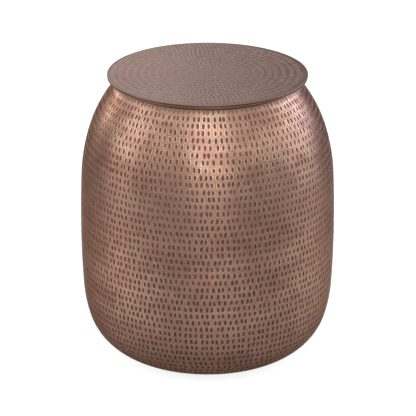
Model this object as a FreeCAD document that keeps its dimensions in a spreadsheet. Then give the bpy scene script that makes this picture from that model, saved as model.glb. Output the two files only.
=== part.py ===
"""Drum side table: a hammered sheet-metal drum with a lift-off lid.

The drum is two spun half shells butted at the belly. Its mouth is a wired edge: the sheet is
curled round a ring of wire. The lid is a flat sheet with a ring of round rod brazed under its edge.
It stands on soft bumpers on the mouth's curl, and a collar under it drops into the mouth.
Four rubber feet are screwed to the base.

Frame: +Z up, the table's axis on Z, the floor at Z = 0. Lengths are in millimetres, angles in degrees.
"""
import math
import os

import FreeCAD
import Part
import Sketcher

FEET = 4
BUMPERS = 4
START, END, CENTRE = range(1, 4)  # the named points of a sketch curve
LEVEL_AXIS, UPRIGHT_AXIS = range(-1, -3, -1)  # the sketch's own axes
ORIGIN = (LEVEL_AXIS, START)
SAME = 1e-4  # sizes this close are one size

SIZES = {
    # The wall's outline, as tangent arcs that start at the belly
    "belly_radius": 200,
    "upper_wall_radius": 2000,
    "upper_wall_angle": 2.6,
    "shoulder_radius": 290,
    "shoulder_angle": 15.5,
    "neck_radius": 208,
    "neck_angle": 24.1,
    "lower_wall_radius": 1500,
    "lower_wall_angle": 3.5,
    "haunch_radius": 212,
    "haunch_angle": 13.2,
    "base_corner_radius": 90,
    "shell_sheet": 1.2,
    # The wired edge of the mouth
    "mouth_wire_diameter": 3.0,
    "mouth_curl_angle": 285,
    "wire_clearance": 0.1,
    # The lid, the rod under its edge, its collar and the bumpers that it stands on
    "lid_overhang": 11.6,
    "lid_sheet": 1.6,
    "lid_edge_round": 0.6,
    "rim_rod_diameter": 4,
    "rim_rod_seat": 0.25,
    "rim_rod_setback": 0.3,
    "collar_sheet": 1.5,
    "collar_depth": 14,
    "collar_clearance": 1.2,
    "collar_edge_round": 0.4,
    "bumper_radius": 5,
    "bumper_height": 5.2,
    "bumper_edge_round": 0.8,
    "bumper_rest_gap": 0.2,
    "bumper_collar_gap": 0.5,
    # The feet and what holds them
    "foot_height": 5,
    "foot_inset": 18,
    "foot_radius": 12,
    "foot_taper": 1,
    "foot_edge_round": 0.8,
    "foot_recess_clearance": 1,
    "screw_radius": 2,
    "screw_hole_clearance": 0.25,
    "screw_head_radius": 4,
    "screw_head_height": 2.4,
    "screw_head_inset": 0.4,
    "screw_head_round": 0.7,
    "screw_socket_across_flats": 2.5,
    "screw_socket_depth": 1.3,
    "screw_tip_length": 1.5,
    "washer_radius": 6,
    "washer_sheet": 0.8,
    "nut_across_flats": 7,
    "nut_height": 3.2,
    "thread_clearance": 0.05,
}

doc = FreeCAD.newDocument("drum_side_table")
sheet = doc.addObject("Spreadsheet::Sheet", "sizes")
for row, (alias, number) in enumerate(SIZES.items(), start=1):
    sheet.set(f"A{row}", alias)
    sheet.set(f"B{row}", str(number))
    sheet.setAlias(f"B{row}", alias)
doc.recompute()

# Places that several pieces share, as expressions of the sheet's cells


def degrees(alias):
    """An angle of the sheet, as an expression with its unit"""
    return f"(sizes.{alias} * 1 deg)"


SHOULDER_SLOPE = f"({degrees('upper_wall_angle')} + {degrees('shoulder_angle')})"
NECK_SLOPE = f"({SHOULDER_SLOPE} + {degrees('neck_angle')})"
HAUNCH_SLOPE = f"({degrees('lower_wall_angle')} + {degrees('haunch_angle')})"
BASE_CORNER_ANGLE = f"(90 deg - {HAUNCH_SLOPE})"

BASE_Z = "sizes.foot_height"
BELLY_Z = (
    f"({BASE_Z} + sizes.base_corner_radius"
    f" + (sizes.lower_wall_radius - sizes.haunch_radius) * sin({degrees('lower_wall_angle')})"
    f" + (sizes.haunch_radius - sizes.base_corner_radius) * sin({HAUNCH_SLOPE}))"
)
MOUTH_EDGE_R = (
    "(sizes.belly_radius - sizes.upper_wall_radius"
    f" + (sizes.upper_wall_radius - sizes.shoulder_radius) * cos({degrees('upper_wall_angle')})"
    f" + (sizes.shoulder_radius - sizes.neck_radius) * cos({SHOULDER_SLOPE})"
    f" + sizes.neck_radius * cos({NECK_SLOPE}))"
)
MOUTH_EDGE_Z = (
    f"({BELLY_Z}"
    f" + (sizes.upper_wall_radius - sizes.shoulder_radius) * sin({degrees('upper_wall_angle')})"
    f" + (sizes.shoulder_radius - sizes.neck_radius) * sin({SHOULDER_SLOPE})"
    f" + sizes.neck_radius * sin({NECK_SLOPE}))"
)
MOUTH_WIRE_R = "(sizes.mouth_wire_diameter / 2)"
MOUTH_CURL_R = f"({MOUTH_WIRE_R} + sizes.shell_sheet)"
MOUTH_RING_R = f"({MOUTH_EDGE_R} + {MOUTH_WIRE_R} * cos({NECK_SLOPE}))"
MOUTH_RING_Z = f"({MOUTH_EDGE_Z} + {MOUTH_WIRE_R} * sin({NECK_SLOPE}))"

LID_UNDERSIDE_Z = f"({MOUTH_RING_Z} + {MOUTH_CURL_R} + sizes.bumper_rest_gap + sizes.bumper_height)"
LID_TOP_Z = f"({LID_UNDERSIDE_Z} + sizes.lid_sheet)"
LID_R = f"({MOUTH_RING_R} + {MOUTH_CURL_R} + sizes.lid_overhang)"
RIM_ROD_R = "(sizes.rim_rod_diameter / 2)"
RIM_RING_R = f"({LID_R} - sizes.rim_rod_setback - {RIM_ROD_R})"
RIM_RING_Z = f"({LID_UNDERSIDE_Z} - {RIM_ROD_R} + sizes.rim_rod_seat)"
COLLAR_R = f"({MOUTH_RING_R} - {MOUTH_CURL_R} - sizes.collar_clearance)"

BASE_INSIDE_Z = f"({BASE_Z} + sizes.shell_sheet)"
FLAT_BASE_R = (
    "(sizes.belly_radius - sizes.lower_wall_radius"
    f" + (sizes.lower_wall_radius - sizes.haunch_radius) * cos({degrees('lower_wall_angle')})"
    f" + (sizes.haunch_radius - sizes.base_corner_radius) * cos({HAUNCH_SLOPE}))"
)
FOOT_CIRCLE_R = f"({FLAT_BASE_R} - sizes.foot_inset)"
FOOT_TIP_R = "(sizes.foot_radius - sizes.foot_taper)"
FOOT_RECESS_R = "(sizes.screw_head_radius + sizes.foot_recess_clearance)"
SCREW_HOLE_R = "(sizes.screw_radius + sizes.screw_hole_clearance)"
SCREW_HEAD_Z = "sizes.screw_head_inset"
SCREW_SEAT_Z = f"({SCREW_HEAD_Z} + sizes.screw_head_height)"
NUT_SEAT_Z = f"({BASE_INSIDE_Z} + sizes.washer_sheet)"
NUT_TOP_Z = f"({NUT_SEAT_Z} + sizes.nut_height)"
NUT_HOLE_R = "(sizes.screw_radius + sizes.thread_clearance)"


def number(expression):
    """The value of an expression, in millimetres or degrees"""
    value = sheet.evalExpression(expression)
    return float(getattr(value, "Value", value))


# Sketches and features


def new_body(label):
    body = doc.addObject("PartDesign::Body", label)
    body.Label = label
    return body


def new_sketch(body, name, plane):
    """An empty sketch on one of its own body's origin planes"""
    sketch = body.newObject("Sketcher::SketchObject", name)
    support = [f for f in body.Origin.OriginFeatures if f.Role == plane][0]
    sketch.AttachmentSupport = [(support, "")]
    sketch.MapMode = "FlatFace"
    return sketch


def bind(sketch, constraint, expression):
    """Adds a size to a sketch, and ties it to the sheet"""
    index = sketch.addConstraint(constraint)
    sketch.setExpression(f"Constraints[{index}]", expression)


def place_point(sketch, curve, point, across, up):
    """Holds a point of a curve at its distance from the axis and its height"""
    bind(sketch, Sketcher.Constraint("DistanceX", *ORIGIN, curve, point, number(across)), across)
    bind(sketch, Sketcher.Constraint("DistanceY", *ORIGIN, curve, point, number(up)), up)


class SheetLine:
    """One face of a bent sheet, drawn in a sketch as a chain of lines and arcs that meet without a kink"""

    def __init__(self, sketch, across, up, heading):
        self.sketch = sketch
        self.across, self.up = across, up
        self.spot = FreeCAD.Vector(number(across), number(up), 0)
        self.heading = math.radians(heading)
        self.first = None
        self.last = None

    def _join(self, curve, begin, finish):
        if self.last is None:
            self.first = (curve, begin)
            place_point(self.sketch, curve, begin, self.across, self.up)
        else:
            self.sketch.addConstraint(Sketcher.Constraint("Tangent", *self.last, curve, begin))
        self.last = (curve, finish)

    def line_to_axis(self):
        """Straight on to the axis"""
        finish = FreeCAD.Vector(0, self.spot.y, 0)
        curve = self.sketch.addGeometry(Part.LineSegment(self.spot, finish))
        self._join(curve, START, END)
        self.sketch.addConstraint(Sketcher.Constraint("PointOnObject", curve, END, UPRIGHT_AXIS))

    def arc(self, radius, angle, turn):
        """Round a bend: turn is 1 to the left and -1 to the right"""
        r, sweep = number(radius), math.radians(number(angle))
        side = self.heading + turn * math.pi / 2
        centre = self.spot + FreeCAD.Vector(math.cos(side), math.sin(side), 0) * r
        begin = side + math.pi
        finish = begin + turn * sweep
        low, high = min(begin, finish), max(begin, finish)
        circle = Part.Circle(centre, FreeCAD.Vector(0, 0, 1), r)
        curve = self.sketch.addGeometry(Part.ArcOfCircle(circle, low, high))
        first = self.last is None
        ends = (START, END) if turn > 0 else (END, START)
        self._join(curve, *ends)
        if first:
            level = Sketcher.Constraint("Horizontal", curve, ends[0], curve, CENTRE)
            self.sketch.addConstraint(level)
        bind(self.sketch, Sketcher.Constraint("Radius", curve, r), radius)
        bind(self.sketch, Sketcher.Constraint("Angle", curve, sweep), angle)
        self.spot = centre + FreeCAD.Vector(math.cos(finish), math.sin(finish), 0) * r
        self.heading += turn * sweep


def close_sheet(sketch, outside, inside):
    """Joins the two faces of a sheet at both ends, which makes the outline a closed one"""
    for a, b in ((outside.first, inside.first), (outside.last, inside.last)):
        ends = [sketch.getPoint(*a), sketch.getPoint(*b)]
        curve = sketch.addGeometry(Part.LineSegment(*ends))
        sketch.addConstraint(Sketcher.Constraint("Coincident", curve, START, *a))
        sketch.addConstraint(Sketcher.Constraint("Coincident", curve, END, *b))


def polygon(sketch, points):
    """A closed outline with straight sides, each corner held by its two distances"""
    spots = [FreeCAD.Vector(number(x), number(y), 0) for x, y in points]
    count = len(spots)
    sides = [Part.LineSegment(spots[i], spots[(i + 1) % count]) for i in range(count)]
    curves = [sketch.addGeometry(side) for side in sides]
    for i, (x, y) in enumerate(points):
        sketch.addConstraint(Sketcher.Constraint("Coincident", curves[i - 1], END, curves[i], START))
        place_point(sketch, curves[i], START, x, y)


def circle(sketch, across, radius):
    """A circle with its centre on the sketch's level axis, or on its origin where across is zero"""
    ring = Part.Circle(FreeCAD.Vector(number(across), 0, 0), FreeCAD.Vector(0, 0, 1), number(radius))
    curve = sketch.addGeometry(ring)
    if number(across):
        sketch.addConstraint(Sketcher.Constraint("PointOnObject", curve, CENTRE, LEVEL_AXIS))
        bind(sketch, Sketcher.Constraint("DistanceX", *ORIGIN, curve, CENTRE, number(across)), across)
    else:
        sketch.addConstraint(Sketcher.Constraint("Coincident", curve, CENTRE, *ORIGIN))
    bind(sketch, Sketcher.Constraint("Radius", curve, number(radius)), radius)


def hexagon(sketch, across, flats):
    """A hexagon with two corners on the sketch's level axis, sized by its distance across flats"""
    corner = f"({flats} / (2 * cos(30 deg)))"
    middle = FreeCAD.Vector(number(across), 0, 0)
    reach = number(corner)
    turns = [math.radians(60 * i) for i in range(6)]
    spots = [middle + FreeCAD.Vector(math.cos(a), math.sin(a), 0) * reach for a in turns]
    sides = [sketch.addGeometry(Part.LineSegment(spots[i - 1], spots[i])) for i in range(6)]
    round_it = Part.Circle(middle, FreeCAD.Vector(0, 0, 1), reach)
    guide = sketch.addGeometry(round_it, True)
    for i in range(6):
        sketch.addConstraint(Sketcher.Constraint("Coincident", sides[i - 1], END, sides[i], START))
        sketch.addConstraint(Sketcher.Constraint("PointOnObject", sides[i], START, guide))
    for i in range(1, 6):
        sketch.addConstraint(Sketcher.Constraint("Equal", sides[0], sides[i]))
    sketch.addConstraint(Sketcher.Constraint("PointOnObject", sides[0], END, LEVEL_AXIS))
    sketch.addConstraint(Sketcher.Constraint("PointOnObject", guide, CENTRE, LEVEL_AXIS))
    bind(sketch, Sketcher.Constraint("DistanceX", *ORIGIN, guide, CENTRE, number(across)), across)
    bind(sketch, Sketcher.Constraint("Radius", guide, reach), corner)


def revolve(body, sketch):
    feature = body.newObject("PartDesign::Revolution", f"{body.Name}_turned")
    feature.Profile = sketch
    feature.ReferenceAxis = (sketch, ["V_Axis"])
    feature.Angle = 360
    sketch.Visibility = False
    doc.recompute()
    return feature


def pad(body, sketch, length):
    feature = body.newObject("PartDesign::Pad", f"{sketch.Name}_pad")
    feature.Profile = sketch
    feature.setExpression("Length", length)
    sketch.Visibility = False
    doc.recompute()
    return feature


def repeat_round_axis(body, features, count):
    """Copies a feature evenly round the table's axis"""
    pattern = body.newObject("PartDesign::PolarPattern", f"{body.Name}_ring")
    pattern.Originals = features
    axis = [f for f in body.Origin.OriginFeatures if f.Role == "Z_Axis"][0]
    pattern.Axis = (axis, [""])
    pattern.Angle = 360
    pattern.Occurrences = count
    body.Tip = pattern
    doc.recompute()
    return pattern


def round_edge(body, base, edge_radius, height, rounding):
    """Rounds a feature's level circular edges of one radius at one height"""
    found = []
    for i, edge in enumerate(base.Shape.Edges, start=1):
        curve = edge.Curve
        if not isinstance(curve, Part.Circle):
            continue
        right_size = math.isclose(curve.Radius, edge_radius, abs_tol=SAME)
        right_height = math.isclose(curve.Center.z, height, abs_tol=SAME)
        if right_size and right_height:
            found.append(f"Edge{i}")
    feature = body.newObject("PartDesign::Fillet", f"{body.Name}_round_{len(body.Group)}")
    feature.Base = (base, found)
    feature.setExpression("Radius", rounding)
    doc.recompute()
    return feature


def place_on_circle(body, radius, height, index, count):
    """Puts a piece at its place on a circle round the table's axis"""
    turn = f"({index} * 360 deg / {count})"
    body.setExpression("Placement.Base.x", f"({radius}) * cos{turn}")
    body.setExpression("Placement.Base.y", f"({radius}) * sin{turn}")
    body.setExpression("Placement.Base.z", height)


# The drum


def make_upper_shell():
    """Upper half of the drum: wall, shoulder and neck, then the sheet curled out round the mouth wire"""
    body = new_body("upper_shell")
    sketch = new_sketch(body, "upper_shell_outline", "XZ_Plane")
    faces = []
    for cut, curl in (("0", MOUTH_WIRE_R), ("sizes.shell_sheet", MOUTH_CURL_R)):
        face = SheetLine(sketch, f"sizes.belly_radius - {cut}", BELLY_Z, 90)
        face.arc(f"sizes.upper_wall_radius - {cut}", degrees("upper_wall_angle"), 1)
        face.arc(f"sizes.shoulder_radius - {cut}", degrees("shoulder_angle"), 1)
        face.arc(f"sizes.neck_radius - {cut}", degrees("neck_angle"), 1)
        face.arc(curl, degrees("mouth_curl_angle"), -1)
        faces.append(face)
    close_sheet(sketch, *faces)
    revolve(body, sketch)
    return body


def make_lower_shell():
    """Lower half of the drum: wall, haunch, base corner and the flat base with its foot screw holes"""
    body = new_body("lower_shell")
    sketch = new_sketch(body, "lower_shell_outline", "XZ_Plane")
    faces = []
    for cut in ("0", "sizes.shell_sheet"):
        face = SheetLine(sketch, f"sizes.belly_radius - {cut}", BELLY_Z, -90)
        face.arc(f"sizes.lower_wall_radius - {cut}", degrees("lower_wall_angle"), -1)
        face.arc(f"sizes.haunch_radius - {cut}", degrees("haunch_angle"), -1)
        face.arc(f"sizes.base_corner_radius - {cut}", BASE_CORNER_ANGLE, -1)
        face.line_to_axis()
        faces.append(face)
    close_sheet(sketch, *faces)
    revolve(body, sketch)
    holes = new_sketch(body, "foot_screw_hole", "XY_Plane")
    circle(holes, FOOT_CIRCLE_R, SCREW_HOLE_R)
    pocket = body.newObject("PartDesign::Pocket", "foot_screw_hole_cut")
    pocket.Profile = holes
    pocket.setExpression("Length", BASE_INSIDE_Z)
    pocket.Reversed = True
    holes.Visibility = False
    doc.recompute()
    repeat_round_axis(body, [pocket], FEET)
    return body


def make_mouth_wire():
    """The ring of round wire that the mouth's edge is curled round"""
    ring = doc.addObject("Part::Torus", "mouth_wire")
    ring.Label = "mouth_wire"
    ring.setExpression("Radius1", MOUTH_RING_R)
    ring.setExpression("Radius2", f"{MOUTH_WIRE_R} - sizes.wire_clearance")
    ring.setExpression("Placement.Base.z", MOUTH_RING_Z)
    return ring


def make_foot(index):
    """A rubber foot, tapered to the floor, with a recess below for the screw's head"""
    body = new_body(f"foot_{index + 1}")
    sketch = new_sketch(body, f"foot_outline_{index + 1}", "XZ_Plane")
    points = [
        (SCREW_HOLE_R, BASE_Z),
        ("sizes.foot_radius", BASE_Z),
        (FOOT_TIP_R, "0"),
        (FOOT_RECESS_R, "0"),
        (FOOT_RECESS_R, SCREW_SEAT_Z),
        (SCREW_HOLE_R, SCREW_SEAT_Z),
    ]
    polygon(sketch, points)
    turned = revolve(body, sketch)
    round_edge(body, turned, number(FOOT_TIP_R), 0, "sizes.foot_edge_round")
    place_on_circle(body, FOOT_CIRCLE_R, "0", index, FEET)
    return body


def make_foot_screws():
    """Screws through foot, base and nut, with a round head in the foot's recess and a hexagon socket"""
    body = new_body("foot_screws")
    head = new_sketch(body, "screw_head", "XY_Plane")
    circle(head, FOOT_CIRCLE_R, "sizes.screw_head_radius")
    head_pad = pad(body, head, "sizes.screw_head_height")
    shank = new_sketch(body, "screw_shank", "XY_Plane")
    circle(shank, FOOT_CIRCLE_R, "sizes.screw_radius")
    shank_pad = pad(body, shank, f"{NUT_TOP_Z} + sizes.screw_tip_length - {SCREW_HEAD_Z}")
    socket = new_sketch(body, "screw_socket", "XY_Plane")
    hexagon(socket, FOOT_CIRCLE_R, "sizes.screw_socket_across_flats")
    socket_cut = body.newObject("PartDesign::Pocket", "screw_socket_cut")
    socket_cut.Profile = socket
    socket_cut.Reversed = True
    socket_cut.setExpression("Length", "sizes.screw_socket_depth")
    socket.Visibility = False
    doc.recompute()
    ring = repeat_round_axis(body, [head_pad, shank_pad, socket_cut], FEET)
    round_edge(body, ring, number("sizes.screw_head_radius"), 0, "sizes.screw_head_round")
    body.setExpression("Placement.Base.z", SCREW_HEAD_Z)
    return body


def make_foot_washers():
    """Washers on the inside of the base, under the nuts"""
    body = new_body("foot_washers")
    sketch = new_sketch(body, "washer_outline", "XY_Plane")
    circle(sketch, FOOT_CIRCLE_R, "sizes.washer_radius")
    circle(sketch, FOOT_CIRCLE_R, SCREW_HOLE_R)
    repeat_round_axis(body, [pad(body, sketch, "sizes.washer_sheet")], FEET)
    body.setExpression("Placement.Base.z", BASE_INSIDE_Z)
    return body


def make_foot_nuts():
    """Hexagon nuts on the washers"""
    body = new_body("foot_nuts")
    sketch = new_sketch(body, "nut_outline", "XY_Plane")
    hexagon(sketch, FOOT_CIRCLE_R, "sizes.nut_across_flats")
    circle(sketch, FOOT_CIRCLE_R, NUT_HOLE_R)
    repeat_round_axis(body, [pad(body, sketch, "sizes.nut_height")], FEET)
    body.setExpression("Placement.Base.z", NUT_SEAT_Z)
    return body


# The lid


def make_lid_plate():
    """The round top: a flat sheet with a rounded edge"""
    body = new_body("lid_plate")
    sketch = new_sketch(body, "lid_outline", "XY_Plane")
    circle(sketch, "0", LID_R)
    disc = pad(body, sketch, "sizes.lid_sheet")
    rounded = round_edge(body, disc, number(LID_R), 0, "sizes.lid_edge_round")
    round_edge(body, rounded, number(LID_R), number("sizes.lid_sheet"), "sizes.lid_edge_round")
    body.setExpression("Placement.Base.z", LID_UNDERSIDE_Z)
    return body


def make_lid_rim_rod():
    """A ring of round rod under the lid's edge, with a narrow flat where it is brazed to the sheet"""
    body = new_body("lid_rim_rod")
    sketch = new_sketch(body, "rim_rod_section", "XZ_Plane")
    middle = FreeCAD.Vector(number(RIM_RING_R), number(RIM_RING_Z), 0)
    radius, seat = number(RIM_ROD_R), number("sizes.rim_rod_seat")
    half = math.acos((radius - seat) / radius)
    section = Part.Circle(middle, FreeCAD.Vector(0, 0, 1), radius)
    bar = sketch.addGeometry(Part.ArcOfCircle(section, math.pi / 2 + half, math.pi * 5 / 2 - half))
    flat = sketch.addGeometry(Part.LineSegment(sketch.getPoint(bar, END), sketch.getPoint(bar, START)))
    sketch.addConstraint(Sketcher.Constraint("Coincident", flat, START, bar, END))
    sketch.addConstraint(Sketcher.Constraint("Coincident", flat, END, bar, START))
    sketch.addConstraint(Sketcher.Constraint("Horizontal", flat))
    place_point(sketch, bar, CENTRE, RIM_RING_R, RIM_RING_Z)
    bind(sketch, Sketcher.Constraint("Radius", bar, radius), RIM_ROD_R)
    level = Sketcher.Constraint("DistanceY", *ORIGIN, flat, START, number(LID_UNDERSIDE_Z))
    bind(sketch, level, LID_UNDERSIDE_Z)
    revolve(body, sketch)
    return body


def make_lid_collar():
    """A strip rolled into a ring under the lid, its lower edge rounded so that it drops into the mouth"""
    body = new_body("lid_collar")
    sketch = new_sketch(body, "collar_outline", "XY_Plane")
    circle(sketch, "0", COLLAR_R)
    circle(sketch, "0", f"{COLLAR_R} - sizes.collar_sheet")
    strip = pad(body, sketch, "sizes.collar_depth")
    round_edge(body, strip, number(COLLAR_R), 0, "sizes.collar_edge_round")
    body.setExpression("Placement.Base.z", f"{LID_UNDERSIDE_Z} - sizes.collar_depth")
    return body


def make_bumper(index):
    """A felt dot under the lid, which rests on the mouth's curl"""
    body = new_body(f"lid_bumper_{index + 1}")
    sketch = new_sketch(body, f"bumper_outline_{index + 1}", "XY_Plane")
    circle(sketch, "0", "sizes.bumper_radius")
    dot = pad(body, sketch, "sizes.bumper_height")
    round_edge(body, dot, number("sizes.bumper_radius"), 0, "sizes.bumper_edge_round")
    reach = f"{COLLAR_R} + sizes.bumper_collar_gap + sizes.bumper_radius"
    place_on_circle(body, reach, f"{LID_UNDERSIDE_Z} - sizes.bumper_height", index, BUMPERS)
    return body


pieces = [make_upper_shell(), make_lower_shell()]
pieces.append(make_mouth_wire())
pieces += [make_foot(index) for index in range(FEET)]
pieces += [make_foot_screws(), make_foot_washers(), make_foot_nuts()]
pieces += [make_lid_plate(), make_lid_rim_rod(), make_lid_collar()]
pieces += [make_bumper(index) for index in range(BUMPERS)]
doc.recompute()

for item in doc.Objects:
    if "Invalid" in item.State or "Error" in item.State:
        raise RuntimeError(f"{item.Name} did not build: {item.State}")
os.makedirs("parts", exist_ok=True)
for piece in pieces:
    if piece.Shape.isNull() or not piece.Shape.isValid():
        raise RuntimeError(f"{piece.Label} has no valid shape")
    piece.Shape.exportStep(f"parts/{piece.Label}.step")
    box = piece.Shape.BoundBox
    print(piece.Label, len(piece.Shape.Solids), round(piece.Shape.Volume), box)
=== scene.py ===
# %% [markdown]
# # Hammered copper drum table
# The CAD model gives the sizes, the bodies and the one moving part, a lid that lifts off. This lesson dresses it:
# real hammer marks on the wall and the lid, copper with a worn patina, and a soft white studio.
# The first cell loads the frame. Every later piece is made in the same metres and rides on a body of that frame.

# %% Load the frame
import math

import bmesh
import bpy
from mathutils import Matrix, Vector


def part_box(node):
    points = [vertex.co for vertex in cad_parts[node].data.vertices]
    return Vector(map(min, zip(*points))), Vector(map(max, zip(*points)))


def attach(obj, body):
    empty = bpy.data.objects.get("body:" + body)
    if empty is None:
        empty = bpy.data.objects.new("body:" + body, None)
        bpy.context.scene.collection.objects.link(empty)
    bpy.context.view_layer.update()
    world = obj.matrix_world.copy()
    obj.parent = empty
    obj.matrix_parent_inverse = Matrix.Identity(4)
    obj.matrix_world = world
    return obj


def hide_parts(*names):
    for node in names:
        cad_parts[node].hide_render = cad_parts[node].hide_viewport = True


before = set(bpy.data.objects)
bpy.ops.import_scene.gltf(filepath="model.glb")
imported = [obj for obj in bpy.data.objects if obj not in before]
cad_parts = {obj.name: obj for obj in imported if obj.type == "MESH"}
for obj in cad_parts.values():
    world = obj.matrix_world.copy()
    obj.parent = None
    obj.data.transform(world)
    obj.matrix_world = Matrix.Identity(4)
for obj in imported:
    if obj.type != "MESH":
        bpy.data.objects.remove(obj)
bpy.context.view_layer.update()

# %% [markdown]
# ## The outline of the sheet
# The drum is sheet metal bent along tangent arcs, so its section is a chain of arcs: a long wall arc, a shoulder
# and a neck above the belly, and a wall arc, a haunch and a base corner below it. The radii are those of the CAD
# model. The belly's height and the lid's place are read from the frame, so a new pack moves the scene with it.

# %% Sizes of the section, in metres and degrees
BELLY_RADIUS = 0.200
BELLY_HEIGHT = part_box("lower_shell")[1].z
BASE_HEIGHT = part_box("lower_shell")[0].z
SHEET = 0.0012
# A bend is its radius and its angle
UPPER_BENDS = [(2.000, 2.6), (0.290, 15.5), (0.208, 24.1)]
LOWER_BENDS = [(1.500, 3.5), (0.212, 13.2), (0.090, 73.3)]
MOUTH_WIRE = 0.0015
MOUTH_CURL_ANGLE = 285
LID_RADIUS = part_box("lid_plate")[1].x
LID_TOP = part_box("lid_plate")[1].z
LID_SHEET = 0.0016
LID_EDGE_ROUND = 0.0006
# Headings of a section line
OUTWARDS, UPWARDS, DOWNWARDS = 0, 90, -90
STEPS_PER_BEND = 24


def bend_sheet(x, z, heading, bends, steps=STEPS_PER_BEND):
    """Points (x, z) of a line that goes round each bend from a start; a positive angle turns left"""
    points = [(x, z)]
    heading = math.radians(heading)
    for radius, angle in bends:
        turn = math.copysign(1, angle)
        side = heading + turn * math.pi / 2
        cx, cz = x + radius * math.cos(side), z + radius * math.sin(side)
        for i in range(1, steps + 1):
            a = side + math.pi + math.radians(angle) * i / steps
            points.append((cx + radius * math.cos(a), cz + radius * math.sin(a)))
        x, z = points[-1]
        heading += math.radians(angle)
    return points


def thinner(bends, by):
    """The same bends for the sheet's inner face"""
    return [(radius - by, angle) for radius, angle in bends]


def path_length(points):
    return sum(math.dist(a, b) for a, b in zip(points, points[1:]))


upper_outside = bend_sheet(BELLY_RADIUS, BELLY_HEIGHT, UPWARDS, UPPER_BENDS)
upper_inside = bend_sheet(BELLY_RADIUS - SHEET, BELLY_HEIGHT, UPWARDS, thinner(UPPER_BENDS, SHEET))
lower_down = [(radius, -angle) for radius, angle in LOWER_BENDS]
lower_outside = bend_sheet(BELLY_RADIUS, BELLY_HEIGHT, DOWNWARDS, lower_down)[::-1]
lower_inside = bend_sheet(BELLY_RADIUS - SHEET, BELLY_HEIGHT, DOWNWARDS, thinner(lower_down, SHEET))
print("upper wall", path_length(upper_outside), "lower wall", path_length(lower_outside))

# %% [markdown]
# ## Working with nodes
# Node trees are easier to read as sums than as boxes and wires. A `Field` stands for one socket of a tree, and the
# usual signs on it add Math nodes. The same few lines serve the geometry trees and the shader trees.

# %% Fields, nodes and groups


def plug(tree, socket, value):
    """Feeds a socket with a field, or sets it to a constant"""
    if isinstance(value, Field):
        tree.links.new(value.socket, socket)
    else:
        socket.default_value = value


def add_node(tree, kind, inputs=None, **settings):
    """A node with its settings, and its inputs by name or number"""
    made = tree.nodes.new(kind)
    for name, value in settings.items():
        setattr(made, name, value)
    for key, value in (inputs or {}).items():
        plug(tree, made.inputs[key], value)
    return made


class Field:
    """One output socket, which takes part in sums like a number"""

    def __init__(self, tree, socket):
        self.tree, self.socket = tree, socket

    def math(self, operation, *others):
        values = dict(enumerate((self, *others)))
        return out(self.tree, "ShaderNodeMath", 0, values, operation=operation)

    def __add__(self, other):
        return self.math("ADD", other)

    def __sub__(self, other):
        return self.math("SUBTRACT", other)

    def __mul__(self, other):
        return self.math("MULTIPLY", other)

    def __truediv__(self, other):
        return self.math("DIVIDE", other)

    def __neg__(self):
        return self * -1

    def over(self, limit):
        """1 where this field is over the limit, and 0 elsewhere"""
        return self.math("GREATER_THAN", limit)

    def choose(self, yes, no):
        """yes where this field is 1 and no where it is 0"""
        return (yes - no) * self + no


def out(tree, kind, output, inputs=None, **settings):
    """The field that a new node puts out"""
    return Field(tree, add_node(tree, kind, inputs, **settings).outputs[output])


def split_xyz(tree, vector):
    """The x, y and z fields of a vector field"""
    return [Field(tree, part) for part in add_node(tree, "ShaderNodeSeparateXYZ", {0: vector}).outputs]


def join_xyz(tree, x, y, z):
    return out(tree, "ShaderNodeCombineXYZ", 0, {"X": x, "Y": y, "Z": z})


def new_tree(name, kind, inputs, outputs):
    """A node group with named sockets; returns the tree, its input fields and its output node"""
    tree = bpy.data.node_groups.new(name, kind)
    for title, socket_type, default in inputs:
        socket = tree.interface.new_socket(title, in_out="INPUT", socket_type=socket_type)
        if default is not None:
            socket.default_value = default
    for title, socket_type in outputs:
        tree.interface.new_socket(title, in_out="OUTPUT", socket_type=socket_type)
    entry = tree.nodes.new("NodeGroupInput")
    fields = {title: Field(tree, entry.outputs[title]) for title, _, _ in inputs}
    return tree, fields, tree.nodes.new("NodeGroupOutput")


# %% [markdown]
# ## A band of hammer marks
# On the real drum each mark is one blow of a narrow hammer: an upright oval dent with a sharp edge, in level rows
# that the maker works round the drum, so marks in neighbouring rows do not line up. A bump map would look flat at
# the outline and would be lost in the exported shape, so the marks are modelled. One Geometry Nodes tree makes a
# band: a flat grid with six by six faces for each mark, whose inner points are moved to an oval and pushed in, and
# then the whole grid is wrapped round a profile curve. Place, size, depth and lean of each mark vary by a seeded
# random. The oval's edge is a crease, so the sheet between the marks stays as smooth as the hammer left it.

# %% The hammered band tree
FACES_PER_MARK = 6
# Half a face: a grid point nearer to a cell's line than this lies on the line
EDGE_TEST = 0.5 / FACES_PER_MARK
# More than a row has marks, so that each mark has its own number
IDS_PER_ROW = 1000
# A mark moves up by this share of what it moves sideways, and its depth varies by this many size jitters
UP_SHARE, FORCE_SHARE = 0.27, 2.5
# The power moves the points inside the oval towards its rim, and a point past the test is on the rim
OVAL_POWER, RIM_TEST = 0.35, 0.9
LEAST_RADIUS = 0.001
MERGE_DISTANCE = 0.00001


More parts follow.
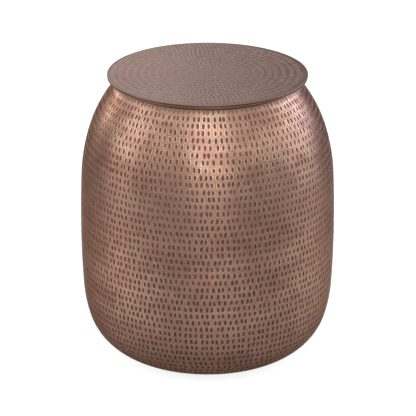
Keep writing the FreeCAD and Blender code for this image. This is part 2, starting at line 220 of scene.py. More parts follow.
def build_band_tree():
    tree, size, exit_node = new_tree(
        "hammered_band",
        "GeometryNodeTree",
        [
            ("Profile", "NodeSocketObject", None),
            ("Marks Round", "NodeSocketInt", 120),
            ("Rows", "NodeSocketInt", 8),
            ("Start", "NodeSocketFloat", 0.0),
            ("Row Pitch", "NodeSocketFloat", 0.011),
            ("Mark Width", "NodeSocketFloat", 0.0045),
            ("Mark Height", "NodeSocketFloat", 0.0091),
            ("Depth", "NodeSocketFloat", 0.0006),
            ("Lip", "NodeSocketFloat", -0.00004),
            ("Place Jitter", "NodeSocketFloat", 0.16),
            ("Size Jitter", "NodeSocketFloat", 0.11),
            ("Phase Jitter", "NodeSocketFloat", 0.4),
            ("Lean", "NodeSocketFloat", 0.15),
            ("Seed", "NodeSocketInt", 1),
            ("Finish", "NodeSocketMaterial", None),
        ],
        [("Geometry", "NodeSocketGeometry")],
    )
    count, rows, seed = size["Marks Round"], size["Rows"], size["Seed"]
    grid = {
        "Size X": count,
        "Size Y": rows,
        "Vertices X": count * FACES_PER_MARK + 1,
        "Vertices Y": rows * FACES_PER_MARK + 1,
    }
    mesh = out(tree, "GeometryNodeMeshGrid", "Mesh", grid)
    grid_x, grid_y, _ = split_xyz(tree, out(tree, "GeometryNodeInputPosition", "Position"))
    across, up = grid_x + count / 2, grid_y + rows / 2
    column = (across + EDGE_TEST).math("FLOOR")
    row = (up + EDGE_TEST).math("FLOOR")
    part_across, part_up = across - column, up - row
    off_row_line = part_up.over(EDGE_TEST)
    in_mark = off_row_line * part_across.over(EDGE_TEST)

    def chance(identity, shift, spread):
        """A random value from -spread to spread for each identity"""
        inputs = {2: -spread, 3: spread, "ID": identity, "Seed": seed + shift}
        return out(tree, "FunctionNodeRandomValue", 1, inputs, data_type="FLOAT")

    mark_id = row * IDS_PER_ROW + column.math("FLOORED_MODULO", count)
    shift_across = chance(mark_id, 1, size["Place Jitter"])
    shift_up = chance(mark_id, 2, size["Place Jitter"] * UP_SHARE)
    swell = chance(mark_id, 3, size["Size Jitter"]) + 1
    force = chance(mark_id, 4, size["Size Jitter"] * FORCE_SHARE) + 1
    lean = chance(mark_id, 5, size["Lean"])
    phase_here = chance(row, 6, size["Phase Jitter"])
    phase_below = chance(row - 1, 6, size["Phase Jitter"])
    phase = off_row_line.choose(phase_here, (phase_here + phase_below) / 2)

    # The inner points of a mark's square become an oval: its rim, and a floor inside the rim
    reach = 0.5 - 1 / FACES_PER_MARK
    square_x, square_y = (part_across - 0.5) / reach, (part_up - 0.5) / reach
    rim = square_x.math("ABSOLUTE").math("MAXIMUM", square_y.math("ABSOLUTE")).over(RIM_TEST)

    def widen(field):
        return field.math("SIGN") * field.math("ABSOLUTE").math("POWER", OVAL_POWER)

    def round_off(a, b):
        """Takes a square's point to a circle"""
        return a * (b * b * -0.5 + 1).math("SQRT")

    wide_x, wide_y = widen(square_x), widen(square_y)
    oval_x = round_off(wide_x, wide_y) * size["Mark Width"] * 0.5 * swell
    oval_y = round_off(wide_y, wide_x) * size["Mark Height"] * 0.5 * swell
    along = (oval_x - oval_y * lean) * in_mark
    rise = (oval_y + oval_x * lean) * in_mark
    cell_across = in_mark.choose(column + 0.5 + shift_across, across) + phase
    cell_up = in_mark.choose(row + 0.5 + shift_up, up)
    bowl = (square_x * square_x + square_y * square_y) * 0.5 - 1
    push = rim.choose(size["Lip"] * force, size["Depth"] * force * bowl) * in_mark

    # The flat grid is wrapped round the profile
    profile = out(tree, "GeometryNodeObjectInfo", "Geometry", {"Object": size["Profile"]})
    length = cell_up * size["Row Pitch"] + size["Start"] + rise
    walk = {"Curves": profile, "Length": length}
    sample = add_node(tree, "GeometryNodeSampleCurve", walk, mode="LENGTH")
    line_x, _, line_z = split_xyz(tree, Field(tree, sample.outputs["Position"]))
    ahead_x, _, ahead_z = split_xyz(tree, Field(tree, sample.outputs["Tangent"]))
    radius = line_x + ahead_z * push
    height = line_z - ahead_x * push
    angle = cell_across / count * math.tau + along / line_x.math("MAXIMUM", LEAST_RADIUS)
    place = join_xyz(tree, radius * angle.math("COSINE"), radius * angle.math("SINE"), height)

    def store(geometry, name, value, kind, domain):
        inputs = {"Geometry": geometry, "Name": name, "Value": value}
        return out(tree, "GeometryNodeStoreNamedAttribute", 0, inputs, data_type=kind, domain=domain)

    # Both masks are stored first, while the points still lie on the flat grid
    mesh = store(mesh, "mark", in_mark * (-rim + 1), "FLOAT", "POINT")
    mesh = store(mesh, "lip", in_mark * rim, "FLOAT", "POINT")
    mesh = out(tree, "GeometryNodeSetPosition", 0, {"Geometry": mesh, "Position": place})
    mesh = out(tree, "GeometryNodeMergeByDistance", 0, {"Geometry": mesh, "Distance": MERGE_DISTANCE})
    mesh = out(tree, "GeometryNodeSetShadeSmooth", 0, {"Geometry": mesh})
    # An edge between two lip points is a crease, so that the sheet between the marks shades flat
    lip = out(tree, "GeometryNodeInputNamedAttribute", "Attribute", {"Name": "lip"}, data_type="FLOAT")
    mesh = store(mesh, "sharp_edge", lip.over(RIM_TEST), "BOOLEAN", "EDGE")
    mesh = out(tree, "GeometryNodeRealizeInstances", 0, {"Geometry": mesh})
    mesh = out(tree, "GeometryNodeSetMaterial", 0, {"Geometry": mesh, "Material": size["Finish"]})
    plug(tree, exit_node.inputs[0], mesh)
    return tree


band_tree = build_band_tree()
print("band tree:", len(band_tree.nodes), "nodes")

# %% [markdown]
# ## Turning the modifier into a mesh
# A modifier's inputs are set by the socket's identifier. The evaluated result is copied to a plain mesh and the
# modifier goes away with its helper object, so that what rides on the frame is ordinary geometry.
# Plain round surfaces need no tree: a lathe turns their section line round the table's axis.

# %% Helpers that make meshes
LATHE_SEGMENTS = 180
POLE_DISTANCE = 1e-7


def new_object(name, data):
    made = bpy.data.objects.new(name, data)
    bpy.context.scene.collection.objects.link(made)
    return made


def profile_curve(name, points):
    """A section line as a curve that the band tree can walk along"""
    data = bpy.data.curves.new(name, "CURVE")
    data.dimensions = "3D"
    line = data.splines.new("POLY")
    line.points.add(len(points) - 1)
    for point, (x, z) in zip(line.points, points):
        point.co = (x, 0, z, 1)
    return new_object(name, data)


def run_tree(name, tree, values):
    """The mesh that a geometry tree makes with these inputs"""
    helper = new_object(f"{name}_helper", bpy.data.meshes.new(f"{name}_helper"))
    modifier = helper.modifiers.new(tree.name, "NODES")
    modifier.node_group = tree
    sockets = {s.name: s.identifier for s in tree.interface.items_tree if s.in_out == "INPUT"}
    for title, value in values.items():
        modifier[sockets[title]] = value
    shown = helper.evaluated_get(bpy.context.evaluated_depsgraph_get())
    mesh = bpy.data.meshes.new_from_object(shown)
    mesh.name = name
    bpy.data.objects.remove(helper)
    return new_object(name, mesh)


def finish_mesh(name, shape):
    """A new object from a bmesh"""
    mesh = bpy.data.meshes.new(name)
    shape.to_mesh(mesh)
    shape.free()
    return new_object(name, mesh)


def lathe(name, points, finish, segments=LATHE_SEGMENTS):
    """Turns a section line round the axis; the surface faces to the right of the way the line goes"""
    shape = bmesh.new()
    angles = [math.tau * i / segments for i in range(segments)]
    rings = [[shape.verts.new((x * math.cos(a), x * math.sin(a), z)) for a in angles] for x, z in points]
    for low, high in zip(rings, rings[1:]):
        for i in range(segments):
            j = (i + 1) % segments
            shape.faces.new((low[i], low[j], high[j], high[i])).smooth = True
    bmesh.ops.remove_doubles(shape, verts=shape.verts, dist=POLE_DISTANCE)
    made = finish_mesh(name, shape)
    made.data.materials.append(finish)
    return made


def join(name, parts):
    """One object from one or more"""
    if len(parts) > 1:
        with bpy.context.temp_override(active_object=parts[0], selected_editable_objects=parts):
            bpy.ops.object.join()
    parts[0].name = parts[0].data.name = name
    triangles = sum(len(face.vertices) - 2 for face in parts[0].data.polygons)
    print(name, triangles, "triangles")
    return parts[0]


# %% [markdown]
# ## Finishes
# The metal is copper-plated sheet that was darkened and rubbed back, so the recesses of the marks stay dark,
# most of all near the base. The lips of the marks are pale, partly from rubbing and partly as painted highlights,
# most of all on the shoulder. The patina lies in level smudges, a little rosier here and more golden there. A pale
# band at the mouth is partly rubbing by the lid and partly painted light, which lifts the shade that the lid casts
# on the wall, and the foot of the wall has a painted dark line of shade where it meets the floor. The sheet was
# brushed round the drum, which draws its lights out upright, so the wall's shader is anisotropic about the axis.
# One shader group makes the smudges, the hue and the fine grain from Object coordinates, and each copper takes it
# with its own colours. The mark and lip masks come from the mesh itself.

# %% The patina group
NOISE_ROUGHNESS = 0.6
# The small smudges and the hue patches are this many times finer than the broad smudges
SMALL_FINER, HUE_FINER = 6, 4
BROAD_SHARE, SMALL_SHARE = 0.62, 0.38
BROAD_DETAIL, SMALL_DETAIL, FINE_DETAIL = 3.0, 4.0, 2.0
# The part of a noise's range that is spread from 0 to 1
NOISE_RANGE = (0.36, 0.64)


def ramp(field, start, end):
    """0 up to start and 1 from end on, whichever is the greater"""
    return ((field - start) / (end - start)).math("MAXIMUM", 0.0).math("MINIMUM", 1.0)


def build_patina_group():
    tree, value, exit_node = new_tree(
        "patina",
        "ShaderNodeTree",
        [
            ("Place", "NodeSocketVector", None),
            ("Smudge Scale", "NodeSocketFloat", 9.0),
            ("Level Stretch", "NodeSocketFloat", 3.0),
            ("Grain Scale", "NodeSocketFloat", 700.0),
        ],
        [("Tone", "NodeSocketFloat"), ("Hue", "NodeSocketFloat"), ("Grain", "NodeSocketFloat")],
    )
    place, scale = value["Place"], value["Smudge Scale"]
    x, y, z = split_xyz(tree, place)
    level = join_xyz(tree, x, y, z * value["Level Stretch"])

    def noise(vector, scale, detail):
        inputs = {"Vector": vector, "Scale": scale, "Detail": detail, "Roughness": NOISE_ROUGHNESS}
        return out(tree, "ShaderNodeTexNoise", 0, inputs)

    broad = noise(level, scale, BROAD_DETAIL)
    small = noise(level, scale * SMALL_FINER, SMALL_DETAIL)
    smudges = broad * BROAD_SHARE + small * SMALL_SHARE
    hue = noise(place, scale * HUE_FINER, FINE_DETAIL)
    plug(tree, exit_node.inputs["Tone"], ramp(smudges, *NOISE_RANGE))
    plug(tree, exit_node.inputs["Hue"], ramp(hue, *NOISE_RANGE))
    plug(tree, exit_node.inputs["Grain"], noise(place, value["Grain Scale"], FINE_DETAIL))
    return tree


patina_group = build_patina_group()
print("patina group:", len(patina_group.nodes), "nodes")

# %% How a finish is put together


def mix_colour(tree, amount, a, b, blend="MIX"):
    """Colour a where amount is 0 and b where it is 1"""
    made = add_node(tree, "ShaderNodeMix", data_type="RGBA", blend_type=blend)
    plug(tree, made.inputs["Factor"], amount)
    plug(tree, made.inputs[6], a)
    plug(tree, made.inputs[7], b)
    return Field(tree, made.outputs[2])


def new_finish(name, **constants):
    """A material with a Principled shader, and the shader's constant values"""
    finish = bpy.data.materials.new(name)
    finish.use_nodes = True
    shader = finish.node_tree.nodes["Principled BSDF"]
    for title, value in constants.items():
        shader.inputs[title.replace("_", " ")].default_value = value
    return finish, finish.node_tree, shader


def place_field(tree):
    return out(tree, "ShaderNodeTexCoord", "Object")


def patina_fields(tree, **values):
    """The tone, hue and grain of the patina group with these values"""
    made = add_node(tree, "ShaderNodeGroup", node_tree=patina_group)
    plug(tree, made.inputs["Place"], place_field(tree))
    for title, value in values.items():
        plug(tree, made.inputs[title.replace("_", " ")], value)
    return [Field(tree, made.outputs[title]) for title in ("Tone", "Hue", "Grain")]


def mask_field(tree, name, power):
    """A mask that is stored in the mesh"""
    return out(tree, "ShaderNodeAttribute", "Fac", attribute_name=name).math("POWER", power)


def add_bump(tree, shader, height, distance):
    bump = {"Height": height, "Distance": distance, "Strength": 1.0}
    plug(tree, shader.inputs["Normal"], out(tree, "ShaderNodeBump", 0, bump))


# %% [markdown]
# ## Copper
# The same sheet looks different in each place, partly because the lid rubs it and partly by painted light and
# shade. The wall is hammered and brushed, the lid is smoother, its edge is darker, the curl under the lid is
# painted dark as shade, and the inside is dull. One function makes them all: it starts from the smudges and the
# hue, then lays the pale mouth band with its painted light, pale lips with their painted highlights, dark marks
# and painted shade over them in turn. Painted textures would need an unwrapped surface, and masks from the height
# and the mesh need none.

# %% Copper finishes
ROSY, GOLDEN = (1.02, 0.985, 0.985, 1), (0.98, 1.015, 0.925, 1)
MARK_POWER, LIP_POWER = 0.6, 3.0
# What the smudges, the grain and the marks add to the roughness
TONE_DULLS, GRAIN_DULLS, MARK_DULLS = 0.12, 0.08, 0.12
# What the band at the mouth, of rubbing and painted light, does to the colour, the roughness and the dark of the
# marks
WEAR_AND_LIGHT_SHOWS, WEAR_DULLS, WEAR_AND_LIGHT_CLEARS = 0.6, 0.15, 0.6
# The lips, pale from rubbing and painted as highlights: heights between which they brighten, their least share and
# what height adds, and the same by hue
LIP_HIGHLIGHT_HEIGHTS, LIP_LEAST, LIP_HIGHLIGHT_BY_HEIGHT = (0.28, 0.40), 0.2, 0.42
LIP_PATCH_LEAST, LIP_BY_HUE = 0.1, 1.6
# The marks: heights between which they darken, their least share, and what height and hue add
DARK_HEIGHTS, DARK_LEAST, DARK_BY_HEIGHT, DARK_BY_HUE = (0.34, 0.12), 0.58, 0.16, 0.16
# How much the painted shade darkens
PAINTED_SHADE_SHOWS = 0.9
COPPER_BUMP = 0.00004


def copper_finish(name, colours, roughness, smudge, stretch=1.0, wear_and_painted_light=None, painted_shade=None, **shine):
    """Rubbed copper: bright to brown by the smudges, recess colour in the marks and a pale colour on their lips,
    partly rubbing and partly painted highlight. The band at the mouth, partly rubbing and partly painted light,
    and the painted shade are each a height where it starts and one where it is full"""
    bright, brown, recess, worn_and_lit = ((*colour, 1) for colour in colours)
    finish, tree, shader = new_finish(name, Metallic=1.0, **shine)
    tone, hue, grain = patina_fields(tree, Smudge_Scale=smudge, Level_Stretch=stretch)
    height = split_xyz(tree, place_field(tree))[2]
    mark, lip = mask_field(tree, "mark", MARK_POWER), mask_field(tree, "lip", LIP_POWER)
    # The lips are partly pale from rubbing and partly painted highlights, more on the shoulder where the lights
    # catch them, and in patches by hue
    lip_wear_and_highlight = ramp(height, *LIP_HIGHLIGHT_HEIGHTS) * LIP_HIGHLIGHT_BY_HEIGHT + LIP_LEAST
    lip_highlight_patch = hue * LIP_BY_HUE + LIP_PATCH_LEAST
    dark_share = ramp(height, *DARK_HEIGHTS) * DARK_BY_HEIGHT + hue * DARK_BY_HUE + DARK_LEAST
    colour = mix_colour(tree, tone, bright, brown)
    colour = mix_colour(tree, 1.0, colour, mix_colour(tree, hue, ROSY, GOLDEN), "MULTIPLY")
    dull = tone * TONE_DULLS + grain * GRAIN_DULLS + mark * MARK_DULLS + roughness
    # The band at the mouth is partly rubbing by the lid and partly painted light that lifts the lid's shade on the
    # wall; it also takes dark out of the marks there
    if wear_and_painted_light:
        worn_and_lit_band = ramp(height, *wear_and_painted_light)
        colour = mix_colour(tree, worn_and_lit_band * WEAR_AND_LIGHT_SHOWS, colour, worn_and_lit)
        dull = dull + worn_and_lit_band * WEAR_DULLS
        dark_share = dark_share * (worn_and_lit_band * -WEAR_AND_LIGHT_CLEARS + 1)
    colour = mix_colour(tree, lip * lip_wear_and_highlight * lip_highlight_patch, colour, worn_and_lit)
    colour = mix_colour(tree, mark * dark_share, colour, recess)
    # Painted shade: a dark band where the wall meets the floor, or where the rod meets the lid
    if painted_shade:
        colour = mix_colour(tree, ramp(height, *painted_shade) * PAINTED_SHADE_SHOWS, colour, recess)
    plug(tree, shader.inputs["Base Color"], colour)
    plug(tree, shader.inputs["Roughness"], dull)
    add_bump(tree, shader, grain, COPPER_BUMP)
    if "Anisotropic" in shine:
        round_axis = out(tree, "ShaderNodeTangent", 0, direction_type="RADIAL", axis="Z")
        plug(tree, shader.inputs["Tangent"], round_axis)
    return finish


BRUSHED = {"Anisotropic": 0.8, "Anisotropic_Rotation": 0.25, "Specular_Tint": (0.5, 0.44, 0.42, 1)}
MOUTH_HEIGHT = upper_outside[-1][1]
LID_UNDERSIDE = LID_TOP - LID_SHEET
# The colours are bright, brown, recess and a pale colour that the lips and the mouth band take, partly as rubbing
# and partly as painted light
wall_copper = copper_finish(
    "hammered_copper",
    [(0.415, 0.238, 0.183), (0.266, 0.138, 0.101), (0.056, 0.041, 0.040), (0.82, 0.55, 0.43)],
    roughness=0.24,
    smudge=9.0,
    stretch=3.0,
    # Partly rubbing and partly painted light, in the shade under the lid's overhang
    wear_and_painted_light=(MOUTH_HEIGHT - 0.0095, MOUTH_HEIGHT - 0.0065),
    # Painted shade along the foot of the wall, where it meets the floor
    painted_shade=(BASE_HEIGHT + 0.008, BASE_HEIGHT - 0.002),
    **BRUSHED,
)
lid_copper = copper_finish(
    "lid_copper",
    [(0.41, 0.258, 0.222), (0.33, 0.20, 0.172), (0.15, 0.094, 0.080), (0.50, 0.34, 0.29)],
    roughness=0.20,
    smudge=7.0,
)
# Also the painted line of shade near the lid's rim
edge_and_shade_line_copper = copper_finish(
    "edge_and_shade_line_copper",
    [(0.28, 0.18, 0.147), (0.23, 0.142, 0.112), (0.1, 0.06, 0.05), (0.6, 0.4, 0.3)],
    roughness=0.26,
    smudge=14.0,
)
rim_copper = copper_finish(
    "rim_copper",
    [(0.42, 0.228, 0.160), (0.31, 0.163, 0.115), (0.03, 0.018, 0.015), (0.6, 0.4, 0.3)],
    roughness=0.26,
    smudge=14.0,
    # Painted shade on the rod's top, in the crease under the lid's edge
    painted_shade=(LID_UNDERSIDE - 0.0022, LID_UNDERSIDE - 0.0012),
)
# The curl is painted dark as the shade under the lid's overhang
curl_shade_copper = copper_finish(
    "curl_shade_copper",
    [(0.17, 0.090, 0.064), (0.13, 0.068, 0.048), (0.03, 0.018, 0.015), (0.6, 0.4, 0.3)],
    roughness=0.26,
    smudge=14.0,
)
under_copper = copper_finish(
    "under_copper",
    [(0.80, 0.53, 0.42), (0.66, 0.42, 0.32), (0.1, 0.06, 0.05), (0.8, 0.5, 0.4)],
    roughness=0.28,
    smudge=8.0,
)
inside_copper = copper_finish(
    "inside_copper",
    [(0.34, 0.22, 0.17), (0.22, 0.14, 0.11), (0.1, 0.06, 0.05), (0.5, 0.3, 0.2)],
    roughness=0.45,
    smudge=8.0,
    stretch=3.0,
)

# %% [markdown]
# ## Fittings
# Rubber, zinc, steel wire and felt are hardly seen until the lid is lifted or the table is turned over. Each is
# two near colours and a grain, so one small function serves all four and takes the same patina group.

# %% Finishes of the fittings
FITTING_SMUDGE = 60.0
FITTING_TONE, FITTING_GRAIN, FITTING_DULLS = 0.6, 0.4, 0.2


def plain_finish(name, dark, light, roughness, metallic, grain_scale, bump):
    """A fitting's finish: two near colours by the smudges, and a grain"""
    finish, tree, shader = new_finish(name, Metallic=metallic)
    tone, _, grain = patina_fields(
        tree, Smudge_Scale=FITTING_SMUDGE, Level_Stretch=1.0, Grain_Scale=grain_scale
    )
    colour = mix_colour(tree, tone * FITTING_TONE + grain * FITTING_GRAIN, (*dark, 1), (*light, 1))
    plug(tree, shader.inputs["Base Color"], colour)
    plug(tree, shader.inputs["Roughness"], grain * FITTING_DULLS + roughness)
    add_bump(tree, shader, grain, bump)
    return finish


# The numbers are the roughness, the metal, the grain's scale and the grain's depth
foot_rubber = plain_finish("foot_rubber", (0.018, 0.018, 0.018), (0.04, 0.04, 0.04), 0.6, 0.0, 1500.0, 0.00008)
zinc_steel = plain_finish("zinc_steel", (0.50, 0.51, 0.53), (0.66, 0.67, 0.68), 0.25, 1.0, 2500.0, 0.00002)
wire_steel = plain_finish("wire_steel", (0.30, 0.29, 0.28), (0.45, 0.44, 0.43), 0.35, 1.0, 1800.0, 0.00003)
dot_felt = plain_finish("dot_felt", (0.05, 0.042, 0.038), (0.11, 0.095, 0.085), 0.8, 0.0, 2200.0, 0.0004)
print("finishes:", [m.name for m in bpy.data.materials])

# %% [markdown]
# ## The drum's wall
# Each half of the drum is a set of hammered bands on its outer line, closed by a turned strip: the curl round the
# mouth wire, the plain inner face, and the belly edge or the flat base. A band keeps one number of marks round, so
# where the drum narrows a new band starts with fewer, as a maker would leave marks out to keep their spacing.
# Each half is two pieces, the straight wall and the rest, because one piece would have too many triangles.

# %% Bands of marks on the two half shells
ROWS_PER_HALF = 23
# A band is its first row, its number of rows and its marks round
UPPER_BANDS = [(0, 14, 150), (14, 9, 122)]
LOWER_BANDS = [(0, 4, 96), (4, 5, 128), (9, 14, 150)]
BAND_SEED, BAND_SEED_STEP = 27, 17


def hammered_bands(name, curve, line, bands):
    """Bands of the wall's marks along one line"""
    pitch = path_length(line) / ROWS_PER_HALF
    made = []
    for index, (first, rows, count) in enumerate(bands):
        values = {
            "Profile": curve,
            "Marks Round": count,
            "Rows": rows,
            "Start": first * pitch,
            "Row Pitch": pitch,
            "Seed": BAND_SEED + BAND_SEED_STEP * index,
            "Finish": wall_copper,
        }
        made.append(run_tree(f"{name}_{index}", band_tree, values))
    return made


upper_curve = profile_curve("upper_line", upper_outside)
lower_curve = profile_curve("lower_line", lower_outside)
upper_bands = hammered_bands("upper_band", upper_curve, upper_outside, UPPER_BANDS)
lower_bands = hammered_bands("lower_band", lower_curve, lower_outside, LOWER_BANDS)

# %% Curl, inside and base of the two half shells
CURL_STEPS = 40
neck_heading = UPWARDS + sum(angle for _, angle in UPPER_BENDS)
curl_bend = [(MOUTH_WIRE, -MOUTH_CURL_ANGLE)]
curl_wire_face = bend_sheet(*upper_outside[-1], neck_heading, curl_bend, CURL_STEPS)
curl_outside = bend_sheet(*upper_inside[-1], neck_heading, thinner(curl_bend, -SHEET), CURL_STEPS)
mouth_curl = lathe("mouth_curl", curl_wire_face + curl_outside[::-1], curl_shade_copper)
upper_lining = lathe("upper_lining", upper_inside[::-1] + upper_outside[:1], inside_copper)
lower_line = lower_outside[-1:] + lower_inside + [(0, BASE_HEIGHT + SHEET)]
lower_lining = lathe("lower_lining", lower_line, inside_copper)
base_sheet = lathe("base_sheet", [(0, BASE_HEIGHT), lower_outside[0]], wall_copper)
upper_wall = join("hammered_upper_wall", upper_bands[:1])
shoulder = join("hammered_shoulder", [*upper_bands[1:], mouth_curl, upper_lining])
lower_wall = join("hammered_lower_wall", lower_bands[-1:])
base = join("hammered_base", [*lower_bands[:-1], lower_lining, base_sheet])

# %% [markdown]
# ## The lid
# The lid is a flat sheet with rings of small dents from the middle to the rim, a flat ring near the rim painted
# dark as a line of shade, and a rounded edge over a ring of rod. Each ring is a band of one row on a line that
# runs from the rim to the middle, with its own number of dents, so that the same tree serves the wall and the lid.

# %% Rings of dents, edge and underside
LID_FLAT = LID_RADIUS - LID_EDGE_ROUND
LID_EDGE_STEPS = 8
RINGS = 12
RING_PITCH = 0.0116
FIRST_RING = 0.0142
DENT_SPACING = 0.0068
DENT = {"Mark Width": 0.0042, "Mark Height": 0.0096, "Depth": 0.0005, "Lip": -0.00003}
RING_SEED = 211
# Where the painted line of shade near the rim starts and ends
SHADE_LINE_INNER, SHADE_LINE_OUTER = LID_FLAT - 0.0046, LID_FLAT - 0.0004
ring_radii = [FIRST_RING + RING_PITCH * i for i in range(RINGS)]
lid_curve = profile_curve("lid_section", [(LID_FLAT, LID_TOP), (0, LID_TOP)])
lid_parts = []
for index, ring_radius in enumerate(ring_radii):
    values = {
        "Profile": lid_curve,
        "Marks Round": round(math.tau * ring_radius / DENT_SPACING),
        "Rows": 1,
        "Start": LID_FLAT - ring_radius - RING_PITCH / 2,
        "Row Pitch": RING_PITCH,
        "Seed": RING_SEED + index,
        "Finish": lid_copper,
        **DENT,
    }
    lid_parts.append(run_tree(f"lid_ring_{index}", band_tree, values))
edge_bend = [(LID_EDGE_ROUND, 90)]
lid_edge = bend_sheet(LID_FLAT, LID_UNDERSIDE, OUTWARDS, edge_bend, LID_EDGE_STEPS)
lid_edge += bend_sheet(LID_RADIUS, LID_TOP - LID_EDGE_ROUND, UPWARDS, edge_bend, LID_EDGE_STEPS)
lid_parts.append(lathe("lid_edge", lid_edge, edge_and_shade_line_copper))
for name, outer, inner, finish in (
    ("lid_border", SHADE_LINE_INNER, ring_radii[-1] + RING_PITCH / 2, lid_copper),
    # A flat ring in the edge colour, painted dark as a line of shade
    ("lid_line", SHADE_LINE_OUTER, SHADE_LINE_INNER, edge_and_shade_line_copper),
    ("lid_lip", LID_FLAT, SHADE_LINE_OUTER, lid_copper),
    ("lid_middle", ring_radii[0] - RING_PITCH / 2, 0, lid_copper),
):
    lid_parts.append(lathe(name, [(outer, LID_TOP), (inner, LID_TOP)], finish))
lid_parts.append(lathe("lid_underside", [(0, LID_UNDERSIDE), lid_edge[0]], under_copper))
lid_top = join("hammered_lid", lid_parts)
for curve in (upper_curve, lower_curve, lid_curve):
    bpy.data.objects.remove(curve)

# %% [markdown]
# ## Felt dots and fittings
# The lid stands on felt dots, which are cut from sheet felt and have a soft edge. They repeat round the lid, so a
# small tree places copies of one dot on a circle. The collar, wires, feet and screws keep their CAD shape and get
# a finish of their own.

# %% Felt dots


def build_ring_tree():
    tree, size, exit_node = new_tree(
        "ring_of_copies",
        "GeometryNodeTree",
        [
            ("Piece", "NodeSocketObject", None),
            ("Count", "NodeSocketInt", 4),
            ("Radius", "NodeSocketFloat", 0.1),
            ("Height", "NodeSocketFloat", 0.0),
            ("Finish", "NodeSocketMaterial", None),
        ],
        [("Geometry", "NodeSocketGeometry")],
    )
    info = out(tree, "GeometryNodeObjectInfo", "Geometry", {"Object": size["Piece"]})
    line = out(tree, "GeometryNodeMeshLine", 0, {"Count": size["Count"]})
    turn = out(tree, "GeometryNodeInputIndex", 0) / size["Count"] * math.tau
    reach = size["Radius"]
    place = join_xyz(tree, turn.math("COSINE") * reach, turn.math("SINE") * reach, size["Height"])
    line = out(tree, "GeometryNodeSetPosition", 0, {"Geometry": line, "Position": place})
    copies = out(tree, "GeometryNodeInstanceOnPoints", 0, {"Points": line, "Instance": info})
    copies = out(tree, "GeometryNodeRealizeInstances", 0, {"Geometry": copies})
    copies = out(tree, "GeometryNodeSetMaterial", 0, {"Geometry": copies, "Material": size["Finish"]})
    plug(tree, exit_node.inputs[0], copies)
    return tree


DOTS = 4
DOT_ROUND = 0.0011
DOT_STEPS, DOT_SEGMENTS = 6, 32
# The dot's lower face is a little hollow, and its side draws in a little above the rounded edge
DOT_HOLLOW, DOT_HALF_HOLLOW = 0.0002, 0.00008
DOT_WAIST, DOT_WAIST_HEIGHT = 0.985, 0.6
ring_tree = build_ring_tree()
dot_low, dot_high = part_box("lid_bumper_1")
dot_radius = (dot_high.x - dot_low.x) / 2
dot_tall = dot_high.z - dot_low.z
dot_section = [(0, DOT_HOLLOW), (dot_radius * 0.5, DOT_HALF_HOLLOW)]
dot_section += bend_sheet(dot_radius - DOT_ROUND, 0, OUTWARDS, [(DOT_ROUND, 90)], DOT_STEPS)
dot_section += [(dot_radius * DOT_WAIST, dot_tall * DOT_WAIST_HEIGHT), (dot_radius, dot_tall), (0, dot_tall)]
dot = lathe("felt_dot", dot_section, dot_felt, DOT_SEGMENTS)
dot_circle = (dot_low.x + dot_high.x) / 2
felt_dots = run_tree(
    "lid_felt_dots",
    ring_tree,
    {"Piece": dot, "Count": DOTS, "Radius": dot_circle, "Height": dot_low.z, "Finish": dot_felt},
)
bpy.data.objects.remove(dot)
print("felt dots:", DOTS, "on a circle of radius", dot_circle)

# %% Finishes on the CAD pieces that stay
NODE_FINISHES = {
    "lid_collar": under_copper,
    "mouth_wire": wire_steel,
    "lid_rim_rod": rim_copper,
    "foot_screws": zinc_steel,
    "foot_washers": zinc_steel,
    "foot_nuts": zinc_steel,
    **{f"foot_{i}": foot_rubber for i in range(1, 5)},
}
for name, finish in NODE_FINISHES.items():
    for material_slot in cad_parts[name].material_slots:
        material_slot.material = finish
print("CAD pieces with a finish:", len(NODE_FINISHES))

# %% [markdown]
# ## Joining the frame
# Each new piece rides on the body that carries it and stands for the CAD node that it hides.

# %% Ride and replace
for piece, body, nodes, slot in (
    (upper_wall, "drum", ["upper_shell"], "copper_sheet"),
    (shoulder, "drum", ["upper_shell"], "copper_sheet"),
    (lower_wall, "drum", ["lower_shell"], "copper_sheet"),
    (base, "drum", ["lower_shell"], "copper_sheet"),
    (lid_top, "lid", ["lid_plate"], "copper_sheet"),
    (felt_dots, "lid", [f"lid_bumper_{i}" for i in range(1, 5)], "bumper_felt"),
):
    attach(piece, body)
    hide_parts(*nodes)
    print(piece.name, "rides on", body)

# %% [markdown]
# ## Studio floor
# The table stands on a white floor. Polished metal shows what lies round it, so the floor has two looks: the
# camera sees it plain and white, and the copper sees it darker, with pools of light that give the wall its
# upright shades. A Light Path node tells the two apart. Shades painted on the copper would stay put when the view
# turns, and these move as reflections do.

# %% Floor
FLOOR_RADIUS, FLOOR_SEGMENTS = 30.0, 96
WHITE = (1, 1, 1, 1)
# The floor's grey, how much darker the metal sees it, and its glow
FLOOR_GREY, MIRROR_DARKER, FLOOR_GLOW = 0.5, 0.16, 0.82
# Each pool is its bearing, its distance from the table's axis, its reach and its glow; a negative glow is a
# painted patch of shade, and the one at the axis is the table's own shadow
POOLS = [
    (0, 0, 1.30, 1.36),
    (0, 0, 0.62, -1.26),
    (-68, 0.75, 0.60, 0.75),
    (12, 0.75, 0.45, 0.35),
    (94, 0.75, 0.70, 0.60),
    (-26, 0.75, 0.40, -0.25),
    (-66, 2.20, 1.20, 0.80),
    (3, 1.80, 0.90, 0.30),
    (100, 2.20, 1.00, 0.25),
    (-28, 0.42, 0.28, -0.12),
    (48, 0.42, 0.30, -0.15),
    (52, 1.40, 0.60, -0.14),
]


def ray_field(tree, kind):
    """1 for rays of one kind"""
    return out(tree, "ShaderNodeLightPath", f"Is {kind} Ray")


def light_path_white(tree, mirrored):
    """1 for rays from the camera, and mirrored for rays off metal or through glass"""
    seen = ray_field(tree, "Glossy").math("MAXIMUM", ray_field(tree, "Transmission"))
    return ray_field(tree, "Camera").math("MAXIMUM", seen * mirrored)


